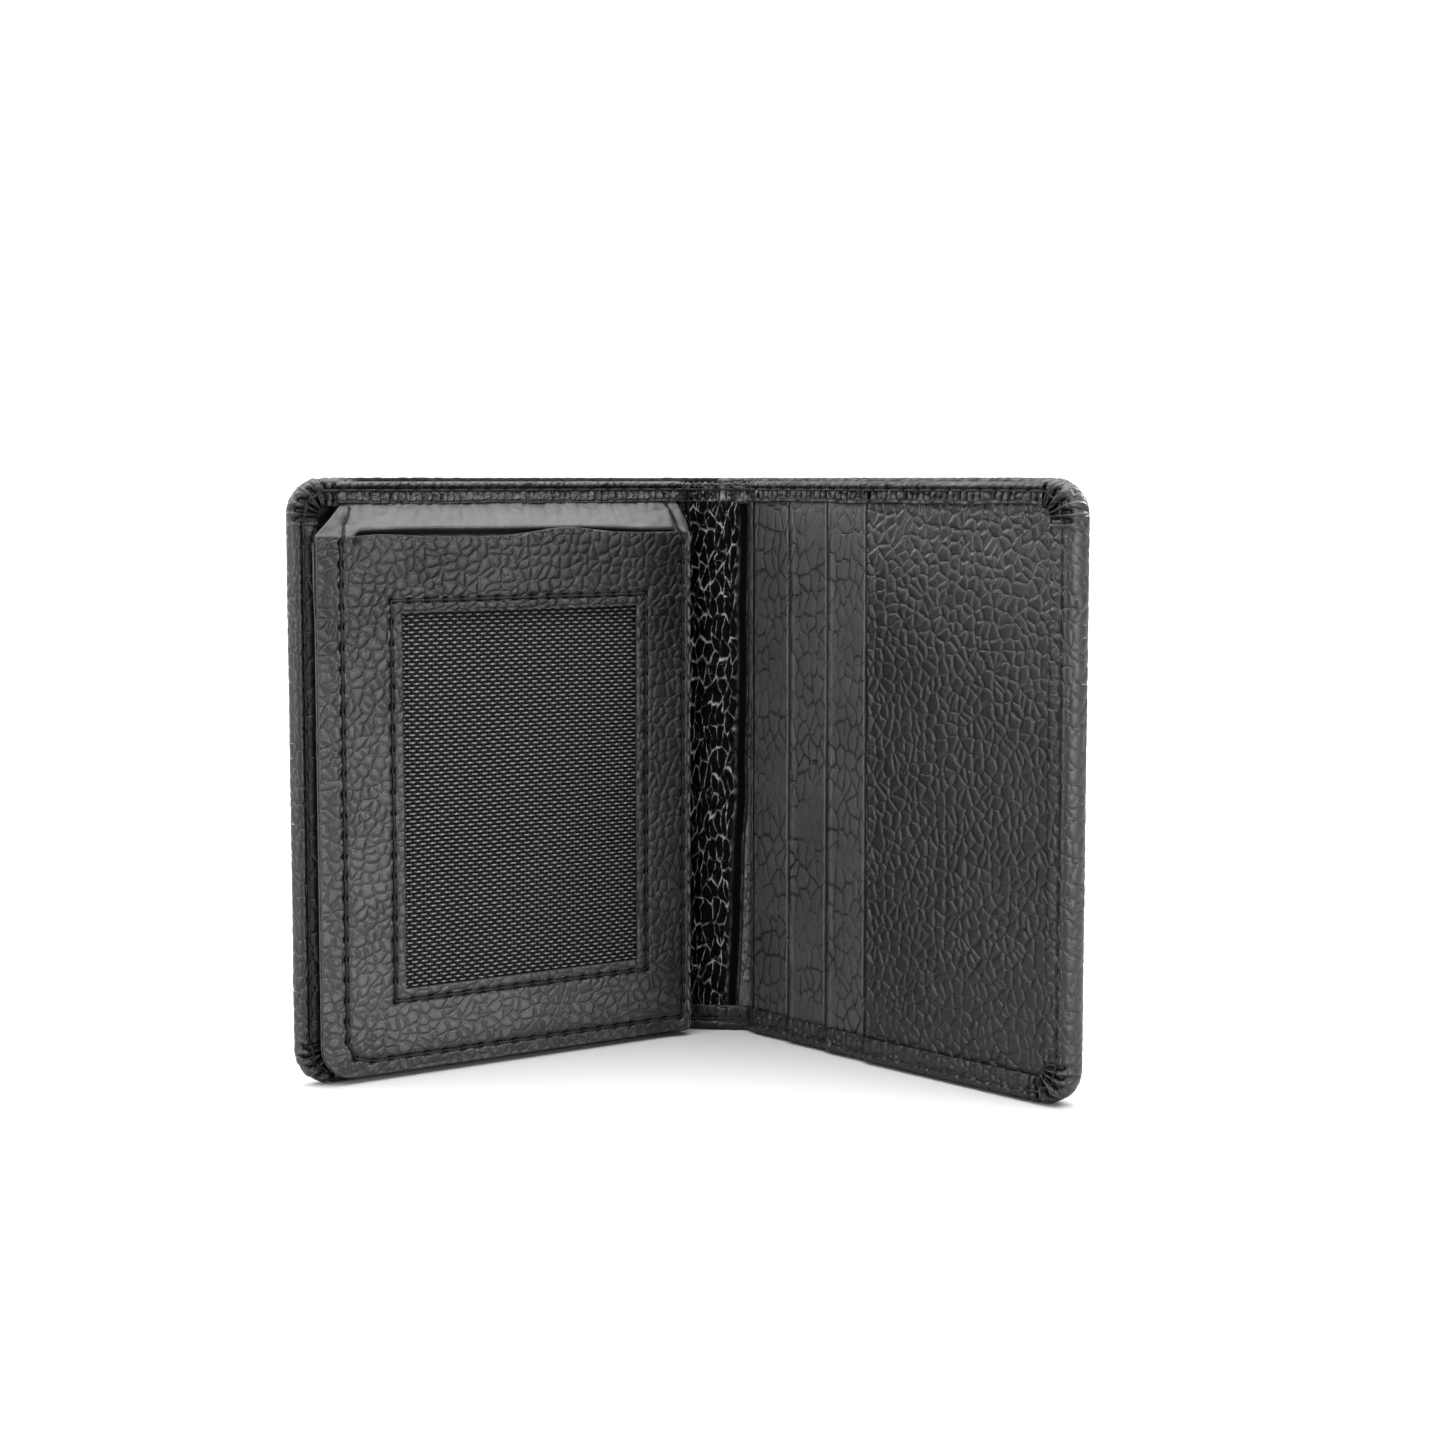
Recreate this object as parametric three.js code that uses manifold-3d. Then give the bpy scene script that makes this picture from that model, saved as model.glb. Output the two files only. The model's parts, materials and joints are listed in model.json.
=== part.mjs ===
// A pebbled leather pocket wallet that stands open on its lower edges: two panels fold on a
// narrow spine, card pockets are stacked on the right, and an identity leaf with a mesh window
// hangs from the top hem on the left. Millimetres, +Z up, the opening faces -Y.
import * as THREE from 'three';
import { mergeVertices } from 'three/addons/utils/BufferGeometryUtils.js';
import Module from 'manifold-3d';

const wasm = await Module();
wasm.setup();

// The wallet is drawn laid out flat and then folded. u is the distance from the centre line
// of the spine, z is the height, and n is the depth from the outer face towards the inside.
const LEFT = -1;
const RIGHT = 1;
const HEIGHT = 105;
const HALF_WIDTH = 88.8;
const FOLD_AT = 6.7;
const FOLD_GAP = 0.65;
const STACK_START = 8.7;
const REST_FOLD = THREE.MathUtils.degToRad(41.5);
const CORNER = 6.5;
const ARC_STEPS = 5;
const OUTER_CORNERS = [0, CORNER, CORNER, 0];

// Sheet thicknesses and the gap between neighbouring sheets.
const COVER = 0.8;
const SHEET = 0.5;
const POCKET = 0.4;
const LINING = 0.3;
const HEM = 0.6;
const GAP = 0.25;
const BILL_SPACE = 0.4;
const THREAD = 0.15;
const THREAD_WIDTH = 0.5;
const LEAF_CLEARANCE = 0.3;
// How far a cutting tool runs past the sheet it cuts, and past the whole wallet.
const OVER = 1;
const CLEAR = 30;

// Hems and pockets.
const WALL = 0.8;
const INNER_INSET = WALL + GAP;
const LAYER_END = HALF_WIDTH - INNER_INSET;
const INNER_TOP = HEIGHT - 0.6;
const FOLD_TOP = INNER_TOP - HEM;
const LAYER_TOP = FOLD_TOP - GAP;
const TOP_HEM_EDGE = 100.6;
const SIDE_HEM = 4.8;
const BOTTOM_HEM = 4.6;
const HEM_STITCH = 2.2;
const HEM_INNER_CORNER = 1.5;
const SPINE_LINING_INSET = 1.4;
const SLOT_MOUTHS = [9.3, 20, 30.7];
const FRONT_POCKET_MOUTH = 41.3;
const SLIP_MOUTH = 11.7;

// Identity leaf.
const LEAF_U = [8.8, 85.4];
const LEAF_Z = [1.2, 100.2];
const LEAF_AXIS_Z = 100.4;
const LEAF_MOUTH = 95;
const LEAF_CORNER = 6;
const LEAF_INNER_CORNER = 1.6;
const LEAF_STITCH = { spine: 2.7, outer: 4.2, low: 2.6 };
const LEAF_OUTER_CUT = 6;
const LEAF_SPINE_CUT = [1.6, 3.8];
const LEAF_LINING_INSET = 1.2;
const TAB_U = [12.8, 77.4];
const TAB_LOW = 95.8;
const WINDOW_U = [21.4, 69.8];
const WINDOW_Z = [15.8, 81.8];
const WINDOW_STITCH = 2;
const MESH_MARGIN = 3.2;
const ID_SPACE = 0.4;

const MATERIALS = {
  outerLeather: { color: 0x1c1d1f, roughness: 0.55, metalness: 0 },
  innerLeather: { color: 0x232427, roughness: 0.5, metalness: 0 },
  lining: { color: 0x141416, roughness: 0.9, metalness: 0 },
  mesh: { color: 0x0e0e10, roughness: 0.6, metalness: 0 },
  thread: { color: 0x0a0a0b, roughness: 0.7, metalness: 0 },
};

// Depths of each sheet, stacked from the outer face inwards.
function stackDepths(sheets) {
  const depths = {};
  let depth = 0;
  for (const [name, thickness, spaceAfter] of sheets) {
    depths[name] = [depth, depth + thickness];
    depth += thickness + spaceAfter;
  }
  return depths;
}

const LEFT_N = stackDepths([
  ['cover', COVER, GAP],
  ['lining', LINING, BILL_SPACE],
  ['inner', SHEET, GAP],
  ['slip', POCKET, GAP],
  ['hem', HEM, GAP],
  ['hemSeam', THREAD, LEAF_CLEARANCE],
  ['leafBack', HEM, GAP],
  ['leafLining', LINING, ID_SPACE],
  ['mesh', LINING, GAP],
  ['leafFront', HEM, GAP],
  ['leafSeam', THREAD, GAP],
]);

const RIGHT_N = stackDepths([
  ['cover', COVER, GAP],
  ['lining', LINING, BILL_SPACE],
  ['inner', SHEET, GAP],
  ['slot1', POCKET, GAP],
  ['slot2', POCKET, GAP],
  ['slot3', POCKET, GAP],
  ['front', SHEET, GAP],
  ['hem', HEM, GAP],
  ['hemSeam', THREAD, GAP],
]);

function cornerArc(u, z, radius, start) {
  if (radius === 0) return [[u, z]];
  return Array.from({ length: ARC_STEPS + 1 }, (_, step) => {
    const angle = start + (step / ARC_STEPS) * (Math.PI / 2);
    return [u + radius * Math.cos(angle), z + radius * Math.sin(angle)];
  });
}

// A rectangle with its own radius at the spine-side and outer corners, low and high.
function outline(side, [u0, u1], [z0, z1], [spineLow, outerLow, outerHigh, spineHigh]) {
  const points = [
    ...cornerArc(u0 + spineLow, z0 + spineLow, spineLow, Math.PI),
    ...cornerArc(u1 - outerLow, z0 + outerLow, outerLow, 1.5 * Math.PI),
    ...cornerArc(u1 - outerHigh, z1 - outerHigh, outerHigh, 0),
    ...cornerArc(u0 + spineHigh, z1 - spineHigh, spineHigh, 0.5 * Math.PI),
  ];
  return new THREE.Shape(points.map(([u, z]) => new THREE.Vector2(side * u, z)));
}

function rectangle(side, across, up) {
  return outline(side, across, up, [0, 0, 0, 0]);
}

// A flat sheet of the given outline between two depths.
function sheet(shape, [near, far]) {
  const geometry = new THREE.ExtrudeGeometry(shape, { depth: far - near, bevelEnabled: false });
  geometry.translate(0, 0, near);
  geometry.rotateX(Math.PI / 2);
  return geometry;
}

function toSolid(geometry) {
  geometry.deleteAttribute('normal');
  geometry.deleteAttribute('uv');
  const merged = mergeVertices(geometry, 1e-5);
  return new wasm.Manifold(new wasm.Mesh({
    numProp: 3,
    vertProperties: new Float32Array(merged.attributes.position.array),
    triVerts: new Uint32Array(merged.index.array),
  }));
}

function cut(geometry, ...tools) {
  let solid = toSolid(geometry);
  for (const tool of tools) solid = solid.subtract(toSolid(tool));
  const { vertProperties, triVerts } = solid.getMesh();
  const result = new THREE.BufferGeometry();
  result.setAttribute('position', new THREE.BufferAttribute(new Float32Array(vertProperties), 3));
  result.setIndex(new THREE.BufferAttribute(new Uint32Array(triVerts), 1));
  result.computeVertexNormals();
  return result;
}

function named(name, material, geometry) {
  const mesh = new THREE.Mesh(geometry, new THREE.MeshStandardMaterial(MATERIALS[material]));
  mesh.name = name;
  return mesh;
}

// The outer leather of a panel. Its lower and outer edges turn over the whole stack as a hem;
// its top edge stands free, which leaves the bill compartment open upwards.
function cover(side, depths) {
  const top = depths.hem[1];
  const past = top + OVER;
  const above = HEIGHT + CLEAR;
  const block = sheet(
    outline(side, [FOLD_AT + FOLD_GAP, HALF_WIDTH], [0, HEIGHT], OUTER_CORNERS), [0, top]);
  const spineRelief = sheet(rectangle(side, [0, STACK_START], [-OVER, above]), [COVER, past]);
  const mouth = sheet(
    rectangle(side, [0, HALF_WIDTH + OVER], [TOP_HEM_EDGE - GAP, above]), [COVER, past]);
  const cavity = sheet(
    outline(side, [0, HALF_WIDTH - WALL], [WALL, above], [0, CORNER - WALL, 0, 0]),
    [COVER, depths.hem[0]]);
  const opening = sheet(
    outline(side, [0, HALF_WIDTH - SIDE_HEM], [BOTTOM_HEM, above], [0, HEM_INNER_CORNER, 0, 0]),
    [COVER, past]);
  return cut(block, spineRelief, mouth, cavity, opening);
}

function billLining(side, depths) {
  const shape = outline(side, [STACK_START, LAYER_END], [INNER_INSET, INNER_TOP], OUTER_CORNERS);
  return sheet(shape, depths.lining);
}

// The inner panel carries the pockets. Its top edge turns forwards and down as the top hem.
function innerPanel(side, depths) {
  const [back, face] = depths.inner;
  const [hemBack, hemFace] = depths.hem;
  const block = sheet(
    outline(side, [STACK_START, LAYER_END], [INNER_INSET, INNER_TOP], OUTER_CORNERS),
    [back, hemFace]);
  const below = sheet(rectangle(side, [0, HALF_WIDTH], [0, TOP_HEM_EDGE]), [face, hemFace + OVER]);
  const fold = sheet(
    outline(side, [0, LAYER_END - HEM], [TOP_HEM_EDGE - CORNER, FOLD_TOP], [0, 0, CORNER - HEM, 0]),
    [face, hemBack]);
  return cut(block, below, fold);
}

function pocket(side, mouth, top, depths) {
  const end = LAYER_END - HEM - GAP;
  return sheet(outline(side, [mouth, end], [INNER_INSET, top], OUTER_CORNERS), depths);
}

// The sewing thread of the hem: along the top, down the outer side and back along the bottom.
function hemSeam(side, depths) {
  const [near, far] = depths.hemSeam;
  const ring = (inset) => outline(
    side, [-OVER, HALF_WIDTH - inset], [inset, HEIGHT - inset],
    [0, CORNER - inset, CORNER - inset, 0]);
  const strip = sheet(ring(HEM_STITCH), [near, far]);
  const middle = sheet(ring(HEM_STITCH + THREAD_WIDTH), [near - OVER, far + OVER]);
  const atSpine = sheet(
    rectangle(side, [-CLEAR, STACK_START + GAP], [0, HEIGHT]), [near - OVER, far + OVER]);
  return cut(strip, middle, atSpine);
}

function spineCover() {
  const reach = FOLD_AT - FOLD_GAP;
  return sheet(rectangle(RIGHT, [-reach, reach], [0, HEIGHT]), [0, COVER]);
}

function spineLining() {
  const reach = FOLD_AT - SPINE_LINING_INSET;
  const near = COVER + GAP;
  return sheet(rectangle(RIGHT, [-reach, reach], [INNER_INSET, INNER_TOP]), [near, near + SHEET]);
}

// The back of the leaf reaches up to the hinge line, with its top corners cut slantwise.
function leafBack() {
  const [u0, u1] = LEAF_U;
  const [z0, z1] = LEAF_Z;
  const [spineCut, spineDrop] = LEAF_SPINE_CUT;
  const points = [
    ...cornerArc(u0 + LEAF_INNER_CORNER, z0 + LEAF_INNER_CORNER, LEAF_INNER_CORNER, Math.PI),
    ...cornerArc(u1 - LEAF_CORNER, z0 + LEAF_CORNER, LEAF_CORNER, 1.5 * Math.PI),
    [u1, LEAF_MOUTH],
    [u1 - LEAF_OUTER_CUT, z1],
    [u0 + spineCut, z1],
    [u0, z1 - spineDrop],
  ];
  const shape = new THREE.Shape(points.map(([u, z]) => new THREE.Vector2(LEFT * u, z)));
  return sheet(shape, LEFT_N.leafBack);
}

function leafLining() {
  const [u0, u1] = LEAF_U;
  const inset = LEAF_LINING_INSET;
  const shape = outline(
    LEFT, [u0 + inset, u1 - inset], [LEAF_Z[0] + inset, LEAF_MOUTH - inset], [0, LEAF_CORNER, 0, 0]);
  return sheet(shape, LEFT_N.leafLining);
}

function windowMesh() {
  const across = [WINDOW_U[0] - MESH_MARGIN, WINDOW_U[1] + MESH_MARGIN];
  const up = [WINDOW_Z[0] - MESH_MARGIN, WINDOW_Z[1] + MESH_MARGIN];
  return sheet(rectangle(LEFT, across, up), LEFT_N.mesh);
}

// The face of the leaf, with the window cut out. Its straight top edge is the mouth of the
// identity-card pocket.
function leafFront() {
  const shape = outline(
    LEFT, LEAF_U, [LEAF_Z[0], LEAF_MOUTH], [LEAF_INNER_CORNER, LEAF_CORNER, 0, 0]);
  const [near, far] = LEFT_N.leafFront;
  const window = sheet(rectangle(LEFT, WINDOW_U, WINDOW_Z), [near - OVER, far + OVER]);
  return cut(sheet(shape, [near, far]), window);
}

function leafEdgeSeam() {
  const { spine, outer, low } = LEAF_STITCH;
  const ring = (grow) => outline(
    LEFT, [LEAF_U[0] + spine + grow, LEAF_U[1] - outer - grow], [LEAF_Z[0] + low + grow, HEIGHT],
    [0, LEAF_CORNER - outer - grow, 0, 0]);
  const [near, far] = LEFT_N.leafSeam;
  const middle = sheet(ring(THREAD_WIDTH), [near - OVER, far + OVER]);
  const above = sheet(
    rectangle(LEFT, [0, HALF_WIDTH], [LEAF_MOUTH - THREAD_WIDTH, HEIGHT + OVER]),
    [near - OVER, far + OVER]);
  return cut(sheet(ring(0), [near, far]), middle, above);
}

function windowSeam() {
  const frame = (grow) => rectangle(
    LEFT, [WINDOW_U[0] - grow, WINDOW_U[1] + grow], [WINDOW_Z[0] - grow, WINDOW_Z[1] + grow]);
  const [near, far] = LEFT_N.leafSeam;
  const middle = sheet(frame(WINDOW_STITCH), [near - OVER, far + OVER]);
  return cut(sheet(frame(WINDOW_STITCH + THREAD_WIDTH), [near, far]), middle);
}

// The strip under the top hem that the leaf hangs from.
function leafTab() {
  return sheet(rectangle(LEFT, TAB_U, [TAB_LOW, LAYER_TOP]), LEFT_N.slip);
}

function spineGroup() {
  const group = new THREE.Group();
  group.add(named('spine_cover', 'outerLeather', spineCover()));
  group.add(named('spine_inner_panel', 'innerLeather', spineLining()));
  return group;
}

// Puts flat pieces into a group that turns about the fold beside the spine.
function foldedGroup(side, pieces) {
  const hinge = new THREE.Vector3(side * FOLD_AT, -COVER / 2, 0);
  const group = new THREE.Group();
  group.position.copy(hinge);
  group.rotation.z = -side * REST_FOLD;
  for (const piece of pieces) {
    piece.position.sub(hinge);
    group.add(piece);
  }
  return group;
}

function leftPieces() {
  return [
    named('left_cover', 'outerLeather', cover(LEFT, LEFT_N)),
    named('left_bill_lining', 'lining', billLining(LEFT, LEFT_N)),
    named('left_inner_panel', 'innerLeather', innerPanel(LEFT, LEFT_N)),
    named('left_slip_pocket', 'innerLeather', pocket(LEFT, SLIP_MOUTH, LEAF_MOUTH, LEFT_N.slip)),
    named('leaf_hanger_tab', 'innerLeather', leafTab()),
    named('left_hem_seam', 'thread', hemSeam(LEFT, LEFT_N)),
  ];
}

function rightPieces() {
  const slots = SLOT_MOUTHS.map((mouth, index) => {
    const name = `slot${index + 1}`;
    return named(`card_${name}`, 'innerLeather', pocket(RIGHT, mouth, LAYER_TOP, RIGHT_N[name]));
  });
  return [
    named('right_cover', 'outerLeather', cover(RIGHT, RIGHT_N)),
    named('right_bill_lining', 'lining', billLining(RIGHT, RIGHT_N)),
    named('right_inner_panel', 'innerLeather', innerPanel(RIGHT, RIGHT_N)),
    ...slots,
    named(
      'front_pocket', 'innerLeather',
      pocket(RIGHT, FRONT_POCKET_MOUTH, LAYER_TOP, RIGHT_N.front)),
    named('right_hem_seam', 'thread', hemSeam(RIGHT, RIGHT_N)),
  ];
}

// The leaf turns about a level line just under the top hem, in the plane of its back sheet.
function leafGroup() {
  const axisDepth = (LEFT_N.leafBack[0] + LEFT_N.leafBack[1]) / 2;
  const hinge = new THREE.Vector3(0, -axisDepth, LEAF_AXIS_Z);
  const group = new THREE.Group();
  group.position.copy(hinge);
  const pieces = [
    named('leaf_back_panel', 'innerLeather', leafBack()),
    named('leaf_pocket_lining', 'lining', leafLining()),
    named('window_mesh', 'mesh', windowMesh()),
    named('leaf_front_panel', 'innerLeather', leafFront()),
    named('leaf_edge_seam', 'thread', leafEdgeSeam()),
    named('window_seam', 'thread', windowSeam()),
  ];
  for (const piece of pieces) {
    piece.position.sub(hinge);
    group.add(piece);
  }
  return group;
}

const wallet = new THREE.Group();
wallet.add(spineGroup());
wallet.add(foldedGroup(LEFT, [...leftPieces(), leafGroup()]));
wallet.add(foldedGroup(RIGHT, rightPieces()));

// The origin is at the middle of the footprint, on the surface that the wallet stands on.
wallet.updateMatrixWorld(true);
const middle = new THREE.Box3().setFromObject(wallet, true).getCenter(new THREE.Vector3());
wallet.position.set(-middle.x, -middle.y, 0);

export default wallet;
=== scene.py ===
import json
import math

import bpy
import numpy as np
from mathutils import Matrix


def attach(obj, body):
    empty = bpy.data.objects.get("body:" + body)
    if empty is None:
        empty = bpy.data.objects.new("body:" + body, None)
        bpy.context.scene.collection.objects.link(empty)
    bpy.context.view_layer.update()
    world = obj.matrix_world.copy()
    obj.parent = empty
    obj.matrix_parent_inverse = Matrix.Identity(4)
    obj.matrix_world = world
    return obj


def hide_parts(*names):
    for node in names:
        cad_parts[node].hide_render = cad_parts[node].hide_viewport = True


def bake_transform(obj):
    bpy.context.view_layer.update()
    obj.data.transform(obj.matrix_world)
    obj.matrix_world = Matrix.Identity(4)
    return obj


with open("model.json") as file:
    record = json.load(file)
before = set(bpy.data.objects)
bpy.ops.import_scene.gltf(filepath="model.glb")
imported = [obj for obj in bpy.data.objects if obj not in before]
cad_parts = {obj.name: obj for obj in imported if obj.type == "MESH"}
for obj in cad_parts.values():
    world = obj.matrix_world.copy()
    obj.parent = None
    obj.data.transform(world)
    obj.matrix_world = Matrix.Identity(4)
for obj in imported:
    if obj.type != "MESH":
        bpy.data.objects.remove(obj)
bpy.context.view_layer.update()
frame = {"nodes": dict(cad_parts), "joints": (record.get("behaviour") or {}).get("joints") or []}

MM = 0.001
JOINTS = {joint["name"]: joint for joint in frame["joints"]}
FOLD_AT = JOINTS["right_fold"]["pos_m"][0] / MM
HINGE_Y = JOINTS["right_fold"]["pos_m"][1] / MM
REST = math.radians(-JOINTS["right_fold"]["range_deg"][0])
AXIS_DEPTH = 0.4
BEND_FROM, BEND_TO = FOLD_AT - 4.0, FOLD_AT + 4.0

HALF = {-1: "left", 1: "right"}
HEIGHT = 105.0
HALF_WIDTH = 88.8
CORNER = 6.5
HEM_TOP = 104.4
HEM_EDGE = 100.6
HEM_WIDTH = 4.8
HEM_STITCH = 2.2
HEM_FOLD = 1.6
LEATHER = 0.6
GAP = 0.25
SPINE_FACE = 1.45
LEFT_FACE = 2.9
RIGHT_FACE = 2.55
COVER_BULGE = 1.5
COVER_INSIDE = 1.0
CORNER_PLEATS = 7
GATHER_PITCH = 1.35
LAYER_END = 87.4
LAYER_LOW = 1.1
LAYER_HIGH = 103.4
SLOT_MOUTHS = (9.3, 20.0, 30.7)
SLOT_FACES = (2.9, 3.55, 4.2)
FRONT_MOUTH = 41.3
FRONT_FACE = 4.95
INNER_BACK = 1.75
INNER_FACE = 2.25

LEAF_U = (8.5, 85.4)
LEAF_Z = (1.2, 100.2)
LEAF_MOUTH = 95.0
LEAF_BACK = (4.45, 5.05)
LEAF_FRONT = (6.55, 7.15)
LEAF_STITCH_SPINE = 2.7
LEAF_STITCH_OUTER = 4.2
LEAF_STITCH_LOW = 2.6
MESH_DEPTH = 6.15
WINDOW_U = (21.4, 69.8)
WINDOW_Z = (15.8, 81.8)
WINDOW_STITCH = 2.0
KNOT = (78.3, 94.0)
STITCH_PITCH = 3.6
BAND_PLACE = -50.0
SLIP_MOUTH = 11.7

# Pebbled grain: sizes of the pebbles in mm, the seed of the pattern, and how far along the hide the
# outside of the cover and the back of a sheet are cut, so that their pebbles differ.
INNER_PEBBLE = 1.9
OUTER_PEBBLE = 2.4
LEAF_PEBBLE = 2.1
GRAIN_SEED = 5
OUTER_SEED = 11
OUTSIDE_CUT = 300
BACK_CUT = 200.0

# The tone attribute: 0 is the bottom of a crease, painted black as shade, PEBBLE_TONE a pebble's top, and
# 1 pale leather, painted where a roll or strip is meant to look lit.
PEBBLE_TONE = 0.6
PALE = 10.0
EDGE_TONE = 0.03

CEILING_LIGHT = 5.5
HORIZON_LIGHT = 0.35
FLOOR_TONE = 0.42
FLOOR_HALF = 30.0
LENS = 64.0
CAMERA_PLACE = (0.0552, -0.4521, 0.1048)
CAMERA_TILT = -5.42
CAMERA_TURN = 6.45
# Lamps: name, place, watts, side of the square, and the point it faces.
LAMPS = (
    ("left_light", (-0.55, -0.6, 0.14), 4.5, 0.45, (0, 0, 0.03)),
    ("right_light", (0.75, -0.42, 0.14), 6.0, 0.45, (0, 0, 0.03)),
    ("back_left_light", (-0.7, 0.25, 0.35), 3.0, 0.25, (0, 0, 0.05)),
    ("back_right_light", (0.5, 0.6, 0.45), 3.0, 0.25, (0, 0, 0.05)),
)


# ---- numbers and noise

def smooth(t):
    t = np.clip(t, 0.0, 1.0)
    return t * t * (3.0 - 2.0 * t)


def hashed(i, j, seed):
    """A steady pseudo-random number from 0 to 1 for each pair of whole numbers."""
    h = (i.astype(np.int64) * 374761393 + j.astype(np.int64) * 668265263 + seed * 974634777)
    h = (h ^ (h >> 13)) & 0xFFFFFFFF
    h = (h * 1274126177) & 0xFFFFFFFF
    h = (h ^ (h >> 16)) & 0xFFFFFFFF
    return h / 4294967295.0


def noise(p, q, size, seed):
    """Smooth noise from -1 to 1 with features of the given size."""
    a, b = p / size, q / size
    i, j = np.floor(a), np.floor(b)
    fa, fb = smooth(a - i), smooth(b - j)
    low = hashed(i, j, seed) * (1 - fa) + hashed(i + 1, j, seed) * fa
    high = hashed(i, j + 1, seed) * (1 - fa) + hashed(i + 1, j + 1, seed) * fa
    return 2.0 * (low * (1 - fb) + high * fb) - 1.0


def cells(p, q, size, seed):
    """Distance to the nearest border between irregular cells, and a random number per cell."""
    shape = p.shape
    a, b = (p / size).ravel(), (q / size).ravel()
    i, j = np.floor(a), np.floor(b)
    steps = np.array([(s, t) for s in range(-2, 3) for t in range(-2, 3)], float)
    ci, cj = i[:, None] + steps[:, 0], j[:, None] + steps[:, 1]
    sx = ci + 0.5 + 0.46 * (2 * hashed(ci, cj, seed) - 1)
    sy = cj + 0.5 + 0.46 * (2 * hashed(ci, cj, seed + 7) - 1)
    d2 = (sx - a[:, None]) ** 2 + (sy - b[:, None]) ** 2
    near = d2.argmin(1)
    row = np.arange(len(a))
    nx, ny, nd = sx[row, near], sy[row, near], d2[row, near]
    apart = np.hypot(sx - nx[:, None], sy - ny[:, None])
    border = (d2 - nd[:, None]) / np.maximum(2 * apart, 1e-9)
    border[row, near] = np.inf
    value = hashed(ci[row, near], cj[row, near], seed + 13)
    return (border.min(1) * size).reshape(shape), value.reshape(shape)


def grain(p, q, size, depth, seed=GRAIN_SEED, stretch=1.0):
    """Pebbled leather: its height in mm, and the distance in mm to the nearest crease."""
    wp = p + 0.55 * noise(p, q, 3.1, seed + 20) + 0.2 * noise(p, q, 1.1, seed + 22)
    wq = (q + 0.55 * noise(p, q, 3.1, seed + 21) + 0.2 * noise(p, q, 1.1, seed + 23)) / stretch
    border, value = cells(wp, wq, size, seed)
    small, _ = cells(wp + 9.1, wq + 4.7, size * 0.5, seed + 40)
    split = smooth((noise(p, q, 4.5, seed + 31) - 0.05) * 3)
    crease = np.minimum(border, small + 0.22 + 0.9 * (1 - split))
    groove = 1.0 - np.exp(-(crease / 0.24) ** 2)
    crown = 1.0 - np.exp(-border / 0.6)
    strength = 0.75 + 0.25 * noise(p, q, 6.0, seed + 30)
    height = (0.55 * groove + 0.45 * crown + 0.12 * value) * strength
    return depth * height, np.minimum(crease + 0.35 * (1 - strength), PEBBLE_TONE)


# ---- from flat to folded

def fold(x, n, z):
    """Stands flat points up: each half turns about its fold beside the spine."""
    side = np.where(x < 0, -1.0, 1.0)
    across = np.abs(x)
    turn = REST * smooth((across - BEND_FROM) / (BEND_TO - BEND_FROM))
    du, dn = across - FOLD_AT, AXIS_DEPTH - n
    out = FOLD_AT + du * np.cos(turn) + dn * np.sin(turn)
    y = HINGE_Y - du * np.sin(turn) + dn * np.cos(turn)
    return np.stack(np.broadcast_arrays(side * out, y, z), -1)


# ---- meshes

def add_object(name, data):
    thing = bpy.data.objects.new(name, data)
    bpy.context.collection.objects.link(thing)
    return thing


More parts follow.
